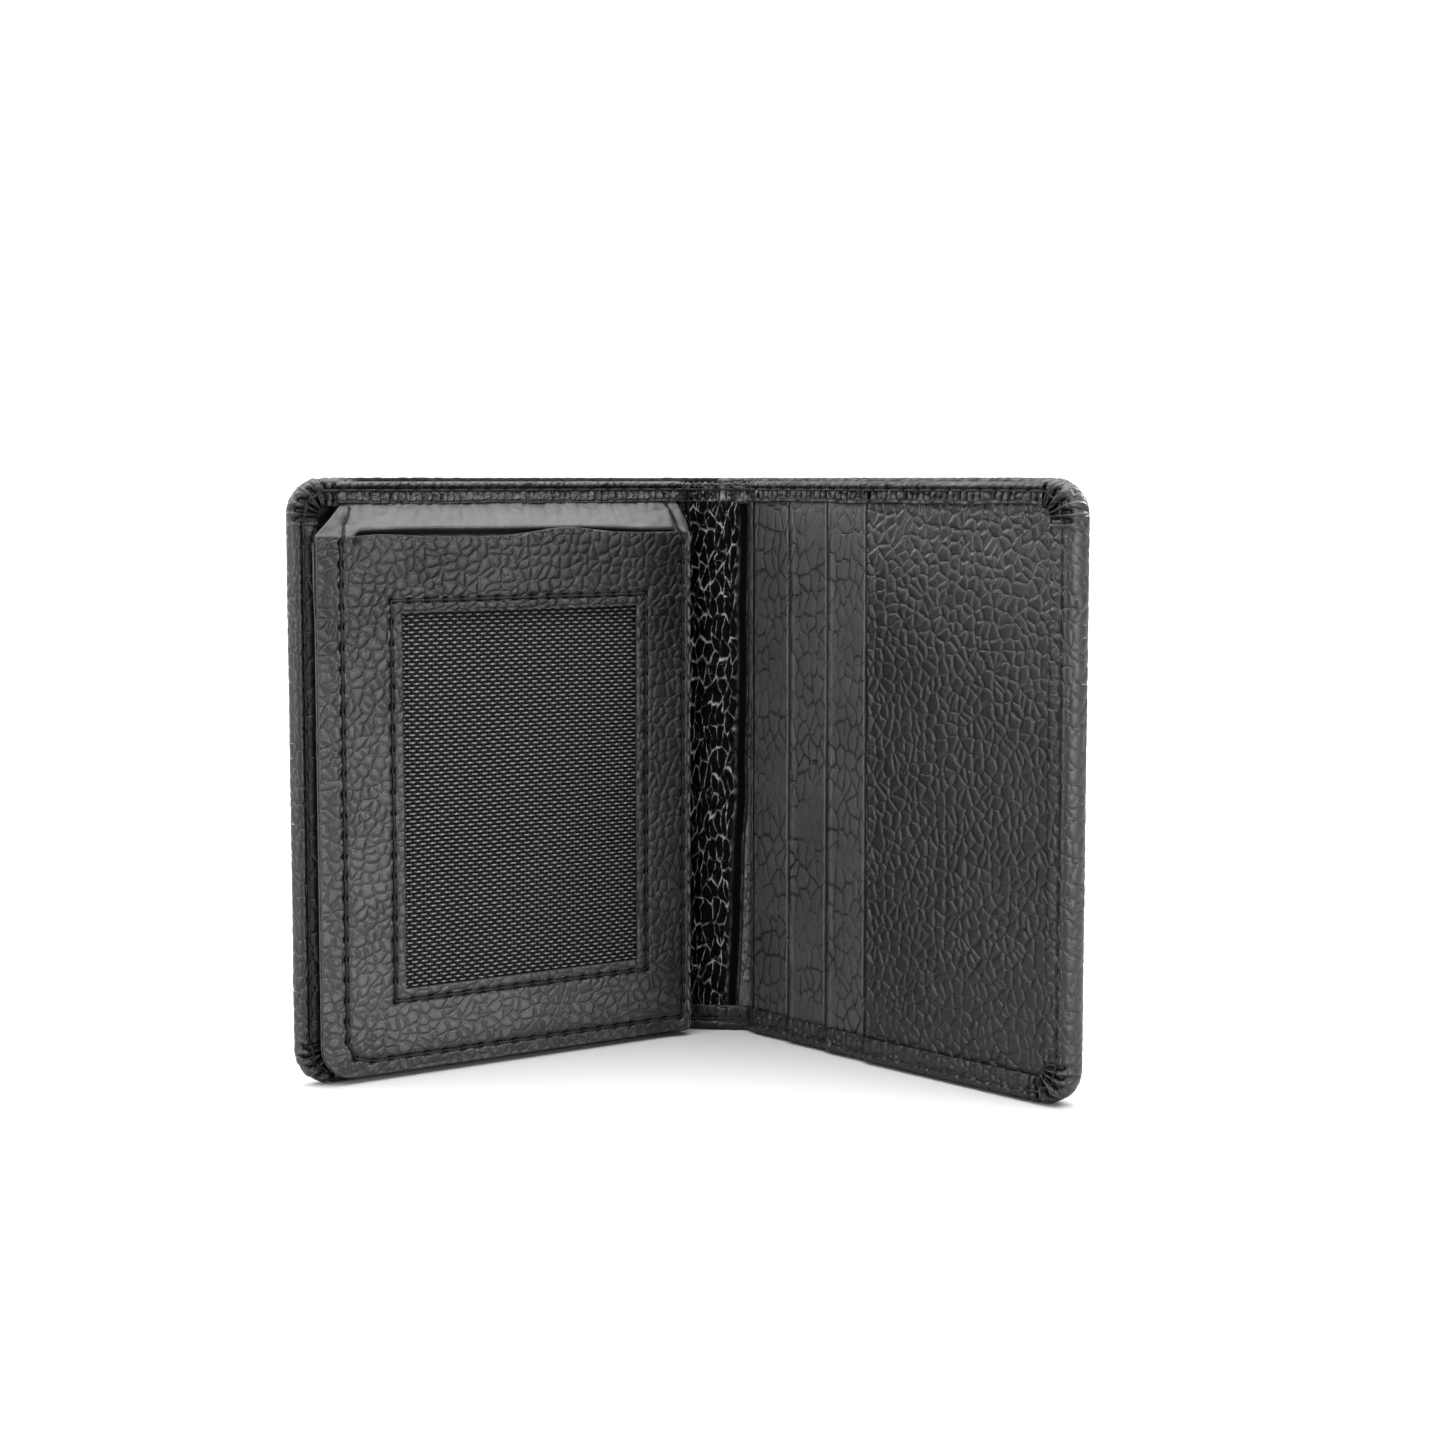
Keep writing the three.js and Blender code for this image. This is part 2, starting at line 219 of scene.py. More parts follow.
class Skin:
    """Collects grids of flat points and the faces between them into one mesh."""

    def __init__(self, side):
        self.side = side
        self.points, self.leather, self.tone, self.gloss = [], [], [], []
        self.quads, self.ngons = [], []
        self.count = 0

    def add(self, u, n, z, leather=None, tone=0.7, gloss=0.0):
        u, n, z, tone, gloss = np.broadcast_arrays(u, n, z, tone, gloss)
        lu, lz = (u, z) if leather is None else np.broadcast_arrays(*leather)
        self.points.append(np.stack([self.side * u, n, z], -1).reshape(-1, 3))
        self.leather.append(np.stack([self.side * lu, lz], -1).reshape(-1, 2))
        self.tone.append(tone.ravel())
        self.gloss.append(gloss.ravel())
        index = self.count + np.arange(u.size).reshape(u.shape)
        self.count += u.size
        return index

    def weave(self, grid):
        """Quads over a two-dimensional array of vertex numbers."""
        a, b, c, d = grid[:-1, :-1], grid[:-1, 1:], grid[1:, 1:], grid[1:, :-1]
        self.quads.append(np.stack([a, b, c, d], -1).reshape(-1, 4))

    def hoop(self, a, b):
        """Quads all the way round between two rings of vertex numbers."""
        self.weave(np.stack([np.append(a, a[0]), np.append(b, b[0])]))

    def tube(self, grid):
        """Quads round a tube of rings, and a face over each of its ends."""
        self.weave(np.concatenate([grid, grid[:, :1]], 1))
        self.ngons.append(list(grid[0]))
        self.ngons.append(list(grid[-1][::-1]))

    def close_back(self, low, high, left=(), right=()):
        """Long quads from the low edge to the high one, with the two end strips as one face each."""
        low, high = np.asarray(low), np.asarray(high)
        inner = slice(1 if len(left) else 0, len(low) - (2 if len(right) else 1))
        k = np.arange(len(low) - 1)[inner]
        self.quads.append(np.stack([low[k], high[k], high[k + 1], low[k + 1]], -1))
        if len(left):
            self.ngons.append([low[1], low[0], *left, high[0], high[1]])
        if len(right):
            self.ngons.append([low[-1], low[-2], high[-2], high[-1], *list(right)[::-1]])

    def build(self, name, material):
        flat = np.concatenate(self.points)
        co = fold(flat[:, 0], flat[:, 1], flat[:, 2])
        quads = np.concatenate(self.quads)
        loops = np.concatenate([quads.ravel()] + [np.asarray(f) for f in self.ngons])
        sizes = np.array([4] * len(quads) + [len(f) for f in self.ngons])
        used, loops = np.unique(loops, return_inverse=True)
        co = co[used]
        starts = np.concatenate([[0], np.cumsum(sizes)[:-1]])
        owner = np.repeat(np.arange(len(sizes)), sizes)
        first = co[loops[starts[owner]]]
        after = np.arange(len(loops)) + 1
        after = np.where(after == (starts + sizes)[owner], starts[owner], after)
        volume = np.einsum("ij,ij->", np.cross(co[loops] - first, co[loops[after]] - first), first)
        if volume < 0:
            ends = starts + sizes
            loops = loops[starts[owner] + ends[owner] - 1 - np.arange(len(loops))]
        mesh = bpy.data.meshes.new(name)
        mesh.vertices.add(len(co))
        mesh.vertices.foreach_set("co", (co * MM).astype(np.float32).ravel())
        mesh.loops.add(len(loops))
        mesh.loops.foreach_set("vertex_index", loops.astype(np.int32))
        mesh.polygons.add(len(sizes))
        mesh.polygons.foreach_set("loop_start", starts.astype(np.int32))
        flat_faces = np.ones(len(sizes), bool)
        flat_faces[len(quads):] = False
        mesh.update(calc_edges=True)
        mesh.polygons.foreach_set("use_smooth", flat_faces)
        hide = np.concatenate(self.leather)[used][loops] * MM
        mesh.uv_layers.new(name="leather").data.foreach_set("uv", hide.astype(np.float32).ravel())
        for label, values in (("tone", self.tone), ("gloss", self.gloss)):
            layer = mesh.attributes.new(label, "FLOAT", "POINT")
            layer.data.foreach_set("value", np.concatenate(values)[used].astype(np.float32))
        mesh.validate()
        mesh.materials.append(material)
        return add_object(name, mesh)


def lines(*stops):
    """Grid lines through (place, spacing) stops: the spacing holds up to the next stop."""
    out = []
    for (a, step), (b, _) in zip(stops[:-1], stops[1:]):
        count = max(1, int(round((b - a) / step)))
        out.extend(a + (b - a) * np.arange(count) / count)
    return np.array(out + [stops[-1][0]])


def rounded(u, z, radii):
    """A grid on a rectangle with round corners: spine low, outer low, outer high, spine high."""
    u, z = np.meshgrid(u, z)
    u0, u1, z0, z1 = u.min(), u.max(), z.min(), z.max()
    places = ((u0, z0, -1, -1), (u1, z0, 1, -1), (u1, z1, 1, 1), (u0, z1, -1, 1))
    for (cu, cz, su, sz), r in zip(places, radii):
        if r <= 0:
            continue
        a = (u - (cu - su * r)) * su / r
        b = (z - (cz - sz * r)) * sz / r
        inside = (a > 0) & (b > 0)
        ra, rb = a * np.sqrt(1 - np.clip(b, 0, 1) ** 2 / 2), b * np.sqrt(1 - np.clip(a, 0, 1) ** 2 / 2)
        u = np.where(inside, cu - su * r + su * r * ra, u)
        z = np.where(inside, cz - sz * r + sz * r * rb, z)
    return u, z


def around(grid):
    """The border of a grid, anticlockwise from its first corner."""
    return np.concatenate([grid[0, :], grid[1:, -1], grid[-1, -2::-1], grid[-2:0:-1, 0]])


def outward(u, z, closed=True):
    """Unit vectors that point out of a border, in the plane of the sheet."""
    if closed:
        tu, tz = np.roll(u, -1) - np.roll(u, 1), np.roll(z, -1) - np.roll(z, 1)
    else:
        tu, tz = np.gradient(u), np.gradient(z)
    length = np.hypot(tu, tz)
    return tz / length, -tu / length


def plate(skin, u, z, back, face, relief, edge=0.25, steps=5, both=False, rim=0.3, gloss=0.0):
    """A closed sheet. back and face are depths for each grid point, relief(u, z) gives the height
    and tone of the leather on the face, and both grains the back as well."""
    height, tone = relief(u, z)
    front = skin.add(u, face + height, z, tone=tone, gloss=gloss)
    skin.weave(front)
    ring = around(front)
    ru, rz = around(u), around(z)
    mu, mz = outward(ru, rz)
    top = around(np.broadcast_to(face + height, u.shape))
    low = around(np.broadcast_to(back, u.shape))
    previous = ring
    for k in range(1, steps):
        phi = math.pi * k / steps
        share = 0.5 + 0.5 * math.cos(phi)
        reach = edge * math.sin(phi)
        ou, oz = ru + mu * reach, rz + mz * reach
        step = skin.add(ou, low + (top - low) * share, oz, tone=rim)
        skin.hoop(step, previous)
        previous = step
    if both:
        height, tone = relief(u + BACK_CUT, z)
        rear = skin.add(u, back - height, z, leather=(u + BACK_CUT, z), tone=tone)
        skin.weave(rear[::-1])
        last = around(rear)
        skin.hoop(last, previous)
        return
    last = skin.add(ru, low, rz, tone=0.5)
    skin.hoop(last, previous)
    nz, nu = u.shape
    bottom, right = last[:nu], last[nu:nu + nz - 2]
    upper = last[nu + nz - 2:2 * nu + nz - 2][::-1]
    left = last[2 * nu + nz - 2:][::-1]
    skin.close_back(bottom, upper, left, right)


# ---- seams

def walk(path, pitch):
    """Needle holes at an even pitch along a chain of (u, z) points."""
    path = np.asarray(path, float)
    along = np.concatenate([[0], np.cumsum(np.hypot(*np.diff(path, axis=0).T))])
    count = max(1, int(round(along[-1] / pitch)))
    at = np.linspace(0, along[-1], count + 1)
    return np.stack([np.interp(at, along, path[:, k]) for k in (0, 1)], -1)


def arc(cu, cz, r, start, end, count=10):
    angles = np.radians(np.linspace(start, end, count))
    return [(cu + r * math.cos(a), cz + r * math.sin(a)) for a in angles]


def stitched(u, z, holes, channel=0.12, dimple=0.45):
    """How far sewing pulls a sheet down: a shallow channel and a dimple at each needle hole."""
    pull = np.zeros(np.shape(u))
    close = np.full(np.shape(u), 1e9)
    for (au, az), (bu, bz) in zip(holes[:-1], holes[1:]):
        box = (np.abs(u - (au + bu) / 2) < 4.5) & (np.abs(z - (az + bz) / 2) < 4.5)
        if not box.any():
            continue
        pu, pz = u[box], z[box]
        du, dz = bu - au, bz - az
        t = np.clip(((pu - au) * du + (pz - az) * dz) / (du * du + dz * dz), 0, 1)
        line = np.hypot(pu - au - t * du, pz - az - t * dz)
        close[box] = np.minimum(close[box], line)
        for hu, hz in ((au, az), (bu, bz)):
            d = np.hypot(pu - hu, pz - hz)
            pull[box] = np.maximum(pull[box], dimple * np.exp(-(d / 0.5) ** 2))
    return pull + channel * np.exp(-(close / 0.55) ** 2)


def sew(skin, holes, depth, outwards=1.0, radius=0.25):
    """One stitch of thread from each needle hole to the next, on a surface of the given depth."""
    sides, steps = 8, 9
    s = np.linspace(0, 1, steps)
    rise = -0.42 + 0.62 * np.sin(np.pi * s) ** 0.45
    for (au, az), (bu, bz) in zip(holes[:-1], holes[1:]):
        cu, cz = au + (bu - au) * s, az + (bz - az) * s
        length = math.hypot(bu - au, bz - az)
        nu, nz = -(bz - az) / length, (bu - au) / length
        base = depth(cu, cz)
        angle = 2 * np.pi * np.arange(sides + 1) / sides
        girth = radius * (1 + 0.08 * np.cos(6 * np.pi * s))[:, None]
        across, up = girth * np.cos(angle), girth * 0.85 * np.sin(angle)
        u = (cu[:, None] + nu * across)[:, :-1]
        z = (cz[:, None] + nz * across)[:, :-1]
        n = ((base + outwards * rise)[:, None] + outwards * up)[:, :-1]
        along = np.broadcast_to((s * length)[:, None], u.shape)
        girdle = np.broadcast_to(angle[:-1] * radius, u.shape)
        skin.tube(skin.add(u, n, z, leather=(girdle, along)))


# ---- materials

def node_tree(name):
    material = bpy.data.materials.new(name)
    material.use_nodes = True
    tree = material.node_tree
    return material, tree, tree.nodes["Principled BSDF"]


def feed(tree, socket, value):
    """Sets an input to a plain value, or links another node's output to it."""
    if isinstance(value, bpy.types.NodeSocket):
        tree.links.new(value, socket)
    else:
        socket.default_value = value


def fill(tree, node, settings):
    """Sets a node's inputs and its other properties."""
    for key, value in settings.items():
        if key in node.inputs:
            feed(tree, node.inputs[key], value)
        else:
            setattr(node, key, value)


def new(tree, kind, **settings):
    node = tree.nodes.new(kind)
    fill(tree, node, settings)
    return node


def maths(tree, operation, *values):
    node = tree.nodes.new("ShaderNodeMath")
    node.operation = operation
    for socket, value in zip(node.inputs, values):
        feed(tree, socket, value)
    return node.outputs[0]


def ramp(tree, source, *stops):
    """A ramp through (place, grey or colour) stops."""
    node = tree.nodes.new("ShaderNodeValToRGB")
    while len(node.color_ramp.elements) < len(stops):
        node.color_ramp.elements.new(0.5)
    for element, (place, value) in zip(node.color_ramp.elements, stops):
        element.position = place
        element.color = (*value, 1) if isinstance(value, tuple) else (value, value, value, 1)
    tree.links.new(source, node.inputs[0])
    return node.outputs[0]


def attribute(tree, name):
    return new(tree, "ShaderNodeAttribute", attribute_name=name).outputs["Fac"]


def clouds(tree, place, scale, detail):
    return new(tree, "ShaderNodeTexNoise", Vector=place, Scale=scale, Detail=detail).outputs["Fac"]


def mixed(tree, factor, a, b, way="MIX"):
    node = new(tree, "ShaderNodeMix", data_type="RGBA", blend_type=way, Factor=factor, A=a, B=b)
    return node.outputs["Result"]


def bumped(tree, height, strength, distance, **below):
    node = new(tree, "ShaderNodeBump", Height=height, Strength=strength, Distance=distance, **below)
    return node.outputs[0]


def leather_colour(tree, place, tone, gloss, groove, pebble, crease_highlight):
    """Black in the creases as painted shade; where the mesh asks for it, a painted highlight net instead:
    bright creases and darkened pebbles, broken up by patches.
    """
    # Crease colours: painted black shade at the bottom, a painted highlight band beside it, then the
    # pebble's own colour.
    colour = ramp(tree, tone, (0.0, groove), (0.14, crease_highlight), (0.32, crease_highlight), (PEBBLE_TONE, pebble),
                  (1.0, PALE * pebble[0]))
    # Painted highlight net: bright in the creases, near black on the pebbles.
    highlight_net = ramp(tree, tone, (0.0, (0.50, 0.50, 0.51)), (0.045, (0.22, 0.22, 0.226)),
               (0.11, (0.003, 0.003, 0.0033)), (1.0, (0.0015, 0.0015, 0.0018)))
    patches = ramp(tree, clouds(tree, place, 0.55, 2.0), (0.38, 0.06), (0.62, 1.0))
    tint = ramp(tree, clouds(tree, place, 0.09, 3.0), (0.3, 0.72), (0.7, 1.0))
    highlight_net = mixed(tree, 1.0, highlight_net, patches, "MULTIPLY")
    return mixed(tree, 1.0, mixed(tree, gloss, colour, highlight_net), tint, "MULTIPLY")


def leather_normal(tree, place, tone):
    """Pores and the finest creases, and the valleys between the pebbles made sharper."""
    crease = new(tree, "ShaderNodeTexVoronoi", feature="DISTANCE_TO_EDGE", Vector=place, Scale=1.7)
    creased = ramp(tree, crease.outputs["Distance"], (0.0, 0.0), (0.09, 1.0))
    pores = clouds(tree, place, 5.5, 5.0)
    fine = bumped(tree, maths(tree, "ADD", maths(tree, "MULTIPLY", creased, 0.45), pores), 0.3, 0.00010)
    valley = ramp(tree, tone, (0.0, 0.0), (0.12, 0.35), (0.3, 0.85), (0.55, 1.0))
    return bumped(tree, valley, 1.0, 0.00022, Normal=fine)


def leather_material(name, groove, pebble, crease_highlight, roughness, gloss_roughness):
    """Black pebbled leather, that follows the tone and gloss attributes of its mesh."""
    material, tree, shader = node_tree(name)
    uv = new(tree, "ShaderNodeUVMap", uv_map="leather").outputs[0]
    place = new(tree, "ShaderNodeVectorMath", operation="SCALE", Vector=uv, Scale=1 / MM).outputs[0]
    tone, gloss = attribute(tree, "tone"), attribute(tree, "gloss")
    rough = maths(tree, "MULTIPLY_ADD", clouds(tree, place, 1.3, 4.0), 0.16, roughness - 0.08)
    rough = maths(tree, "ADD", rough, ramp(tree, tone, (0.0, 0.2), (0.15, 0.0)))
    shine = maths(tree, "MULTIPLY", gloss, roughness - gloss_roughness)
    # Where the highlight net is painted, real reflections are dimmed so the painted lines show.
    dulled = maths(tree, "SUBTRACT", 1.0, maths(tree, "MULTIPLY", gloss, 0.9))
    level = ramp(tree, tone, (0.0, 0.02), (0.13, 0.5))
    fill(tree, shader, {
        "Base Color": leather_colour(tree, place, tone, gloss, groove, pebble, crease_highlight),
        "Roughness": maths(tree, "SUBTRACT", rough, shine),
        "Normal": leather_normal(tree, place, tone),
        "Specular IOR Level": maths(tree, "MULTIPLY", level, dulled)})
    return material


def thread_material(name, base, twist, roughness=0.5):
    """Twisted or flat thread: its plies are slanting ridges, and the tone attribute darkens it; on the
    window nylon it paints a highlight on each crest.
    """
    material, tree, shader = node_tree(name)
    uv = new(tree, "ShaderNodeUVMap", uv_map="leather").outputs[0]
    plies = new(tree, "ShaderNodeTexWave", bands_direction="DIAGONAL", Vector=uv, Scale=twist,
                Distortion=0.4).outputs["Fac"]
    colour = ramp(tree, plies, (0.1, tuple(c * 0.4 for c in base)), (0.8, base))
    tone = attribute(tree, "tone")
    sheen = maths(tree, "MULTIPLY", tone, 0.35)
    fill(tree, shader, {
        "Base Color": mixed(tree, tone, (0.002, 0.002, 0.002, 1), colour),
        "Normal": bumped(tree, plies, 0.6, 0.00008),
        "Roughness": maths(tree, "SUBTRACT", roughness + 0.35, sheen),
        "Specular IOR Level": maths(tree, "MULTIPLY", tone, 0.5)})
    return material


def cloth_material(name, base, pitch):
    """A fine plain weave for linings: two crossing sets of ridges."""
    material, tree, shader = node_tree(name)
    where = new(tree, "ShaderNodeTexCoord").outputs["Object"]
    ridges = [new(tree, "ShaderNodeTexWave", bands_direction=direction, Vector=where,
                  Scale=1.0 / (pitch * 6.28)).outputs["Fac"] for direction in ("X", "Z")]
    weave = maths(tree, "MULTIPLY", *ridges)
    fill(tree, shader, {
        "Base Color": ramp(tree, weave, (0.0, tuple(c * 0.4 for c in base)), (0.9, base)),
        "Normal": bumped(tree, weave, 0.5, 0.0001),
        "Roughness": 0.75,
        "Sheen Weight": 0.2})
    return material


# Each leather takes: the painted crease shade colour, the pebble colour, the painted highlight colour
# beside creases, and two roughnesses.
OUTER = leather_material(
    "outer_leather", (0.003, 0.003, 0.003), (0.008, 0.0083, 0.0092), (0.013, 0.0134, 0.0148), 0.40, 0.24)
INNER = leather_material(
    "inner_leather", (0.003, 0.003, 0.003), (0.010, 0.0103, 0.0113), (0.018, 0.0185, 0.0205), 0.38, 0.20)
SMOOTH = leather_material(
    "leaf_leather", (0.004, 0.004, 0.004), (0.022, 0.0226, 0.024), (0.040, 0.041, 0.044), 0.38, 0.24)
THREAD = thread_material("sewing_thread", (0.010, 0.010, 0.011), 700.0)
NYLON = thread_material("window_nylon", (0.24, 0.24, 0.25), 900.0, 0.30)
LINING = cloth_material("lining_cloth", (0.003, 0.003, 0.0036), 0.0004)


# ---- hems

def stack_face(side, u):
    """Depth of the finished surface at u, that the hem lies on."""
    u = np.asarray(u, float)
    if side < 0:
        return SPINE_FACE + (LEFT_FACE - SPINE_FACE) * smooth((u - 5) / 4.5)
    face = SPINE_FACE + (RIGHT_FACE - SPINE_FACE) * smooth((u - 5) / 3.5)
    for mouth, level in zip((*SLOT_MOUTHS, FRONT_MOUTH), (*SLOT_FACES, FRONT_FACE)):
        face = face + (level - face) * smooth((u - mouth + 0.6) / 1.2)
    return face


def hem_dip(side, inset):
    """How far the hem's face sinks at its stitch line and its raw edge."""
    stitch = np.exp(-((inset - HEM_STITCH) / 0.6) ** 2)
    inner = smooth((inset - HEM_WIDTH + 0.9) / 0.9)
    return -(0.3 if side < 0 else 0.05) * stitch - 0.12 * inner


def hem_depth(side, u, inset):
    """Depth of the hem's visible face at a distance from its outer edge."""
    return stack_face(side, u) + GAP + LEATHER + hem_dip(side, inset)


def gathers(s, inset, strength):
    """Small tucks along a hem, deepest at the stitch line."""
    tuck = np.abs(np.sin(np.pi * s / GATHER_PITCH + 1.4 * noise(s, s * 0, 4.0, 61)))
    spread = np.exp(-((inset - HEM_STITCH - 0.9) / 1.3) ** 2)
    return -strength * (1 - tuck) ** 2 * spread


def pleats(turn, count):
    """Overlapping radial tucks round a corner, from -1 in a valley to 0.3 on a crest."""
    s = turn * count + 0.3 * noise(turn * count, turn * 0, 1.3, 71)
    saw = s - np.floor(s)
    shape = np.where(saw < 0.72, smooth(saw / 0.72), smooth((1 - saw) / 0.28))
    within = smooth(turn * 5) * smooth((1 - turn) * 5)
    return (1.35 * shape - 1.0) * within * (0.7 + 0.3 * hashed(np.floor(s), np.floor(s) * 0, 5))


def corner_turn(u, z, high):
    """How far round the outer corner a point is, from 0 to 1, or -1 away from the corner."""
    reach = CORNER + 3.0
    du = u - (HALF_WIDTH - reach)
    dz = (z - (HEIGHT - reach)) if high else (reach - z)
    return np.where((du > 0) & (dz > 0), np.arctan2(dz, du) / (np.pi / 2), -1.0)


def hem_holes():
    """Needle holes of a hem, from the spine along the bottom, up the side and back along the top."""
    inset, r = HEM_STITCH, CORNER - HEM_STITCH
    end = HALF_WIDTH - CORNER
    path = [(0.0, inset), (end, inset)]
    path += arc(end, CORNER, r, -90, 0)
    path += arc(end, HEIGHT - CORNER, r, 0, 90)
    path += [(end, HEIGHT - inset), (0.0, HEIGHT - inset)]
    return walk(path, STITCH_PITCH)


HEM_HOLES = hem_holes()
OUTSIDE_HOLES = HEM_HOLES[HEM_HOLES[:, 1] < HEIGHT - CORNER]


def shell(side):
    """The cover leather of one half with half of the spine: its lower and outer edges roll over
    the stack and end as the hem; its top edge is a thin roll behind the bill compartment."""
    skin = Skin(side)
    bulge = COVER_BULGE
    u = lines((0, 0.42), (HALF_WIDTH - CORNER, 0.18), (HALF_WIDTH - bulge, 1))
    z = lines((bulge, 0.18), (CORNER, 0.42), (HEIGHT - CORNER, 0.18), (HEIGHT - bulge, 1))
    r = CORNER - bulge
    u, z = rounded(u, z, (0, r, r, 0))
    height, tone = grain(side * u + OUTSIDE_CUT, z, OUTER_PEBBLE, 0.30, OUTER_SEED)
    edge_fade = 0.35 + 0.65 * smooth(np.minimum(HALF_WIDTH - u, np.minimum(z, HEIGHT - z)) / 5)
    sewn = stitched(u, z, OUTSIDE_HOLES)
    spine_crease = 0.25 * np.exp(-((u - FOLD_AT) / 0.8) ** 2) * (1 + 0.4 * noise(z, z * 0, 7, 5))
    face = skin.add(u, sewn + spine_crease - height * edge_fade, z,
                    leather=(u + side * OUTSIDE_CUT, z), tone=tone)
    skin.weave(face[::-1])
    border = np.concatenate([face[0, :], face[1:, -1], face[-1, -2::-1]])
    bu = np.concatenate([u[0, :], u[1:, -1], u[-1, -2::-1]])
    bz = np.concatenate([z[0, :], z[1:, -1], z[-1, -2::-1]])
    mu, mz = outward(bu, bz, closed=False)
    mu[0], mz[0], mu[-1], mz[-1] = 0, -1, 0, 1
    on_top = smooth((bz - (HEIGHT - CORNER)) / CORNER * 2 - 1) * smooth((HALF_WIDTH - CORNER + 1 - bu) / 9)
    low_turn, high_turn = corner_turn(bu, bz, False), corner_turn(bu, bz, True)
    travelled = np.concatenate([[0], np.cumsum(np.hypot(np.diff(bu), np.diff(bz)))])
    full = stack_face(side, bu) + GAP + LEATHER
    thick = full * (1 - on_top) + bulge * on_top
    lip_shade = (0.96 if side < 0 else 0.8) * np.minimum(1.8 * on_top, 1.0)

    def tucks(inset, share):
        fold_low = pleats(low_turn, CORNER_PLEATS) * (low_turn >= 0)
        fold_high = pleats(high_turn, CORNER_PLEATS) * (high_turn >= 0) * (1 - 0.7 * on_top)
        return share * (fold_low + fold_high) + gathers(travelled, inset, 0.3) * (1 - on_top)

    def row(reach, depth, run, normal, share, tone=1.0):
        inset = bulge - reach
        lu, lz = bu + mu * run, bz + mz * run
        h, t = grain(side * lu + OUTSIDE_CUT, lz, OUTER_PEBBLE, 0.15, OUTER_SEED)
        lift = (h - 0.1 + tucks(inset, share)) * (share > 0 or run < 3)
        # Tuck valleys are painted darker as shade.
        tuck_shade = np.clip(1 + np.minimum(tucks(inset, share), 0) * 2.0, 0, 1)
        out = reach + lift * normal[0]
        return skin.add(bu + mu * out, depth + lift * normal[1], bz + mz * out,
                        leather=(lu + side * OUTSIDE_CUT, lz), tone=t * tone * tuck_shade * (1 - lip_shade))

    rings = [border]
    rolls, rolled_over = 14, 5.5
    for k in range(1, rolls + 1):
        phi = math.pi * k / rolls
        normal = (math.sin(phi), -math.cos(phi))
        run = rolled_over * k / rolls
        share = 0.3 * float(smooth((phi - 0.7) / 1.2)) + 0.7 * float(smooth((phi - 2.1) / 0.9))
        depth = thick / 2 * (1 - math.cos(phi))
        rings.append(row(bulge * math.sin(phi), depth, run, normal, share))
    for reach in np.linspace(-0.25, bulge - HEM_WIDTH, 13):
        inset = bulge - reach
        pu, pz = bu + mu * reach, bz + mz * reach
        holes = stitched(pu, pz, HEM_HOLES, 0.02, 0.3 if side < 0 else 0.12) * (1 - on_top)
        depth = thick + hem_dip(side, inset) - holes
        rings.append(row(reach, depth, rolled_over - reach, (0, 1), 1.0))
    edge = bulge - HEM_WIDTH
    for reach, down in ((edge - 0.1, 0.25), (edge - 0.05, 0.5), (edge + 0.3, LEATHER)):
        rings.append(row(reach, thick - 0.12 - down, 9.5, (0, 1), 0, 0.5))
    inside = np.minimum(COVER_INSIDE, thick - LEATHER - 0.15)
    for reach, depth in ((0.4, thick - LEATHER - 0.12), (0.5, inside)):
        rings.append(row(reach, depth, 12.0, (0, 1), 0, 0.5))
    skin.weave(np.stack(rings))
    count, last = u.shape[1], rings[-1]
    skin.close_back(last[:count], last[-count:][::-1], (), last[count:-count])
    return skin.build(HALF[side] + "_shell", OUTER)


def inner_face(u):
    """Depth of the inner leather's face, which lies lower where it spans the spine."""
    return INNER_FACE - 0.55 * smooth((8.6 - u) / 3.5)


def inner_front(side, u, z):
    """Depth, tone and gloss weight of the inner leather's face. Over the spine it is puffed, with a net of
    low ridges painted as bright highlight lines;
    it sinks in the fold's crease, painted black as shade, has a painted shadow by the first slot's mouth,
    and is pebbled where a panel is bare."""
    bare = smooth((12.5 - u) / 3)
    spine = smooth((8.6 - u) / 2.0)
    h, t = grain(side * u, z, INNER_PEBBLE, 0.2, stretch=1.2)
    wander = 0.7 * noise(u * side, z, 4, 8) + 0.3 * noise(u * side, z, 1.3, 10)
    net, _ = cells(side * u + wander, (z + wander) / 3.2, 1.3, 9)
    twig, _ = cells(side * u + wander, (z - wander) / 1.7, 0.95, 19)
    net = np.minimum(net, twig + 0.05 + 0.4 * smooth(0.5 + 2 * noise(u * side, z, 3.5, 29)))
    ridge = np.exp(-(net / 0.16) ** 2)
    crease_at = 5.1 - 2.6 * np.clip(1 - z / 62, 0, 1) ** 1.5
    crease_at = np.where(side > 0, crease_at + 0.3 * noise(z, z * 0, 9, 31), -9.0)
    # The fold's crease: sunk, and painted black as shade.
    crease = np.exp(-((u - crease_at + 0.2) / 1.4) ** 6)
    gather = np.abs(np.sin(np.pi * u / 1.5 + noise(u, z, 5, 35)))
    gather = gather * (smooth((z - 93) / 7) + smooth((14 - z) / 9)) * smooth((9 - u) / 3)
    roll = (0.3 + 0.1 * noise(u, z, 2.2, 37)) * np.exp(-((u - 7.4) / 0.8) ** 2) * (side > 0)
    # A shallow groove by the first slot's mouth, painted black as its shadow.
    slot = np.exp(-((u - SLOT_MOUTHS[0] + 0.95) / 0.38) ** 4) * (side > 0)
    face = inner_face(u) + (h - 0.2) * bare * (1 - spine) + roll - 0.28 * crease - 0.3 * slot
    face = face + spine * (0.14 * ridge * (1 - crease) - 0.15 + 0.15 * gather)
    # Beyond the crease a strip is painted pale; over the spine the net's creases are painted as bright
    # highlight lines.
    beyond = np.where(side > 0, smooth((u - crease_at - 0.9) / 0.5), 0.0)
    gloss = spine * (1 - crease) * (1 - beyond)
    strip = 0.85 * smooth(t / 0.2) * beyond
    tone = t * (1 - spine) + spine * (net * (1 - beyond) + strip) * (1 - crease)
    return face, tone * (1 - slot), gloss


